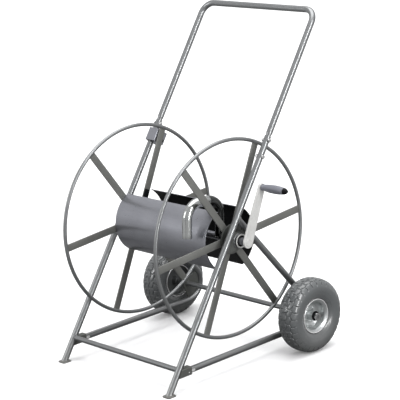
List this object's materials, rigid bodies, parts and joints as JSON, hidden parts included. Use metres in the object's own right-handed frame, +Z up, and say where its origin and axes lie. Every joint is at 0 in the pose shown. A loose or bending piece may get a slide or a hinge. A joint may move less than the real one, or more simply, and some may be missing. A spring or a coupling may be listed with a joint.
{
  "type": "hose reel cart",
  "caption": "Two-wheeled steel tube cart that carries an open hose drum with ringed spoke flanges, a crank handle and a goose-neck hose outlet.",
  "frame": {"origin": "on the floor, under the middle of the part's outer box", "axes": "+Z up, +X towards the crank's side along the drum's axis, +Y towards the wheels, -Y towards the feet"},
  "size_m": [0.8378, 0.8222, 1.1653],
  "materials": {
    "tube_steel": "galvanised grey tube, satin",
    "bar_steel": "rolled bar under grey coating, satin",
    "sheet_steel": "bent sheet, satin grey",
    "bright_steel": "bright zinc plated",
    "cast_steel": "hot dip galvanised plate, pale",
    "rim_paint": "pale silver, satin",
    "rubber": "moulded rubber",
    "grip_plastic": "moulded grey plastic",
    "black_plastic": "moulded black plastic",
    "brass": "turned brass"
  },
  "bodies": {
    "frame": {"left_leg_tube": "tube_steel", "left_foot": "bar_steel", "left_side_tube": "tube_steel", "left_rail_socket": "bar_steel", "left_axle_gusset": "bar_steel", "left_bearing_tube": "tube_steel", "left_bearing_gusset": "bar_steel", "left_bearing_bush": "black_plastic", "left_upper_handle_bolt": "bright_steel", "left_upper_handle_nut": "bright_steel", "left_lower_handle_bolt": "bright_steel", "left_lower_handle_nut": "bright_steel", "left_axle_nut": "bright_steel", "right_leg_tube": "tube_steel", "right_foot": "bar_steel", "right_side_tube": "tube_steel", "right_rail_socket": "bar_steel", "right_axle_gusset": "bar_steel", "right_bearing_tube": "tube_steel", "right_bearing_gusset": "bar_steel", "right_bearing_bush": "black_plastic", "right_upper_handle_bolt": "bright_steel", "right_upper_handle_nut": "bright_steel", "right_lower_handle_bolt": "bright_steel", "right_lower_handle_nut": "bright_steel", "right_axle_nut": "bright_steel", "handle_tube": "tube_steel", "front_crossbar": "tube_steel", "wheel_axle": "bar_steel", "lock_bracket": "sheet_steel"},
    "drum": {"left_ring": "tube_steel", "left_hub_disc": "bar_steel", "left_spoke_1": "bar_steel", "left_spoke_2": "bar_steel", "left_spoke_3": "bar_steel", "left_spoke_4": "bar_steel", "left_spoke_5": "bar_steel", "left_spoke_6": "bar_steel", "right_ring": "tube_steel", "right_hub_disc": "bar_steel", "right_spoke_1": "bar_steel", "right_spoke_2": "bar_steel", "right_spoke_3": "bar_steel", "right_spoke_4": "bar_steel", "right_spoke_5": "bar_steel", "right_spoke_6": "bar_steel", "front_drum_sheet": "sheet_steel", "rear_drum_sheet": "sheet_steel", "drum_shaft": "bar_steel", "goose_neck_pipe": "bright_steel", "crank_arm": "cast_steel", "grip_spindle": "bright_steel"},
    "grip": {"crank_grip": "grip_plastic", "grip_cap": "black_plastic"},
    "lock": {"drum_lock_pin": "black_plastic"},
    "inlet": {"inlet_swivel": "brass"},
    "left_wheel": {"left_tyre": "rubber", "left_rim": "rim_paint"},
    "right_wheel": {"right_tyre": "rubber", "right_rim": "rim_paint"}
  },
  "joints": [
    {"name": "drum_spin", "type": "hinge", "parent": "frame", "child": "drum", "pos_m": [-0.02245, -0.03194, 0.4425], "axis": [1, 0, 0], "continuous": true},
    {"name": "grip_spin", "type": "hinge", "parent": "drum", "child": "grip", "pos_m": [0.34855, 0.04685, 0.61539], "axis": [1, 0, 0], "continuous": true},
    {"name": "lock_slide", "type": "slide", "parent": "frame", "child": "lock", "axis": [1, 0, 0], "range_m": [0, 0.016]},
    {"name": "inlet_turn", "type": "hinge", "parent": "frame", "child": "inlet", "pos_m": [-0.33745, -0.03194, 0.4425], "axis": [1, 0, 0], "continuous": true},
    {"name": "left_wheel_spin", "type": "hinge", "parent": "frame", "child": "left_wheel", "pos_m": [-0.37485, 0.20456, 0.13], "axis": [1, 0, 0], "continuous": true},
    {"name": "right_wheel_spin", "type": "hinge", "parent": "frame", "child": "right_wheel", "pos_m": [0.32995, 0.20456, 0.13], "axis": [1, 0, 0], "continuous": true}
  ]
}
